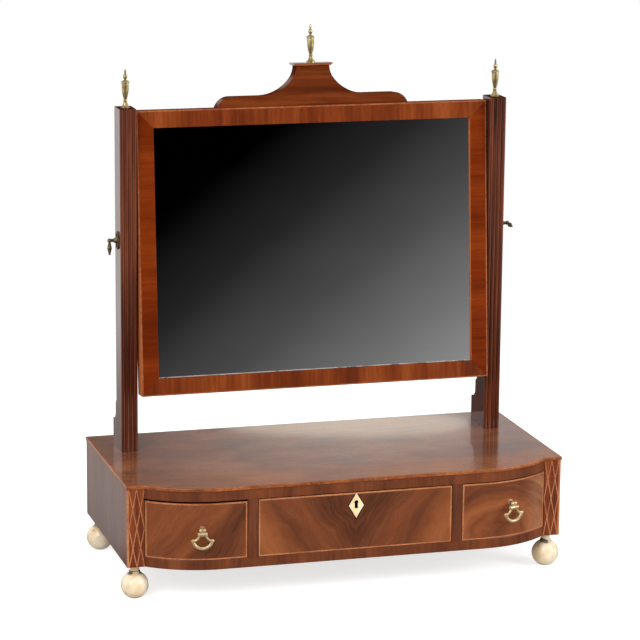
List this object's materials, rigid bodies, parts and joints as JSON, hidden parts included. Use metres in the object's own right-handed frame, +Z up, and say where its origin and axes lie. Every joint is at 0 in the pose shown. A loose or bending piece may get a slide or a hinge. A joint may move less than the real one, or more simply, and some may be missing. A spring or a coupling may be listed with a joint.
{
  "type": "dressing table mirror with drawers",
  "caption": "Swing mirror on reeded posts over a bow-front mahogany box of drawers with pale stringing, drop handles, urn finials and ball feet.",
  "frame": {"origin": "floor level, under the middle of the bounding box", "axes": "+Z up, -Y towards the person who sits at it, +X to that person's right"},
  "size_m": [0.526, 0.2655, 0.6258],
  "materials": {
    "top_veneer": "polished figured mahogany veneer",
    "carcase_veneer": "polished mahogany veneer",
    "front_veneer": "polished figured mahogany veneer",
    "rail_veneer": "polished mahogany, grain upright",
    "post_wood": "polished dark mahogany",
    "frame_veneer": "polished crossbanded mahogany",
    "crest_wood": "polished mahogany",
    "boxwood": "polished pale stringing",
    "drawer_lining": "plain oak, waxed",
    "bone": "polished cream with dark specks",
    "brass": "polished, lightly toned",
    "aged_brass": "dark, aged",
    "steel": "dull",
    "mirror_plate": "silvered glass"
  },
  "bodies": {
    "base": {"top_board": "top_veneer", "top_edge_stringing": "boxwood", "bottom_board": "drawer_lining", "left_side_board": "carcase_veneer", "right_side_board": "carcase_veneer", "back_board": "drawer_lining", "front_top_rail": "rail_veneer", "front_bottom_rail": "rail_veneer", "left_partition": "rail_veneer", "right_partition": "rail_veneer", "left_pilaster": "rail_veneer", "right_pilaster": "rail_veneer", "pilaster_stringing": "boxwood", "front_left_foot": "bone", "front_right_foot": "bone", "back_left_foot": "bone", "back_right_foot": "bone", "left_post": "post_wood", "right_post": "post_wood", "left_finial": "brass", "right_finial": "brass", "left_pivot_plate": "aged_brass", "right_pivot_plate": "aged_brass", "plate_screws": "aged_brass"},
    "left_drawer": {"left_drawer_front": "front_veneer", "left_drawer_stringing": "boxwood", "left_drawer_sides": "drawer_lining", "left_drawer_back": "drawer_lining", "left_drawer_bottom": "drawer_lining", "left_handle_stud": "brass"},
    "centre_drawer": {"centre_drawer_front": "front_veneer", "centre_drawer_stringing": "boxwood", "centre_drawer_sides": "drawer_lining", "centre_drawer_back": "drawer_lining", "centre_drawer_bottom": "drawer_lining", "escutcheon": "bone", "lock_case": "steel"},
    "right_drawer": {"right_drawer_front": "front_veneer", "right_drawer_stringing": "boxwood", "right_drawer_sides": "drawer_lining", "right_drawer_back": "drawer_lining", "right_drawer_bottom": "drawer_lining", "right_handle_stud": "brass"},
    "left_bail": {"left_handle_bail": "brass"},
    "right_bail": {"right_handle_bail": "brass"},
    "bolt": {"lock_bolt": "steel"},
    "mirror": {"frame_top_rail": "frame_veneer", "frame_bottom_rail": "frame_veneer", "frame_left_stile": "frame_veneer", "frame_right_stile": "frame_veneer", "frame_stringing": "boxwood", "frame_nut_plates": "aged_brass", "mirror_glass": "mirror_plate", "mirror_backboard": "drawer_lining", "backboard_pins": "steel", "crest_board": "crest_wood", "crest_cap": "crest_wood", "crest_finial": "brass"},
    "left_screw": {"left_pivot_screw": "aged_brass"},
    "right_screw": {"right_pivot_screw": "aged_brass"}
  },
  "joints": [
    {"name": "left_drawer_slide", "type": "slide", "parent": "base", "child": "left_drawer", "axis": [0, -1, 0], "range_m": [0, 0.16]},
    {"name": "centre_drawer_slide", "type": "slide", "parent": "base", "child": "centre_drawer", "axis": [0, -1, 0], "range_m": [0, 0.16]},
    {"name": "right_drawer_slide", "type": "slide", "parent": "base", "child": "right_drawer", "axis": [0, -1, 0], "range_m": [0, 0.16]},
    {"name": "left_bail_swing", "type": "hinge", "parent": "left_drawer", "child": "left_bail", "pos_m": [-0.18039, -0.12869, 0.08297], "axis": [-0.9825, 0.1863, 0], "range_deg": [-18, 130]},
    {"name": "right_bail_swing", "type": "hinge", "parent": "right_drawer", "child": "right_bail", "pos_m": [0.1887, -0.12803, 0.08757], "axis": [-0.969, -0.247, 0], "range_deg": [-18, 130]},
    {"name": "mirror_tilt", "type": "hinge", "parent": "base", "child": "mirror", "pos_m": [0, 0.06495, 0.38367], "axis": [1, 0, 0], "range_deg": [-90, 90]},
    {"name": "left_screw_turn", "type": "hinge", "parent": "base", "child": "left_screw", "pos_m": [-0.2333, 0.06495, 0.38367], "axis": [1, 0, 0], "continuous": true},
    {"name": "right_screw_turn", "type": "hinge", "parent": "base", "child": "right_screw", "pos_m": [0.2333, 0.06495, 0.38367], "axis": [1, 0, 0], "continuous": true},
    {"name": "lock_bolt_throw", "type": "slide", "parent": "centre_drawer", "child": "bolt", "axis": [0, 0, 1], "range_m": [0, 0.006]}
  ]
}
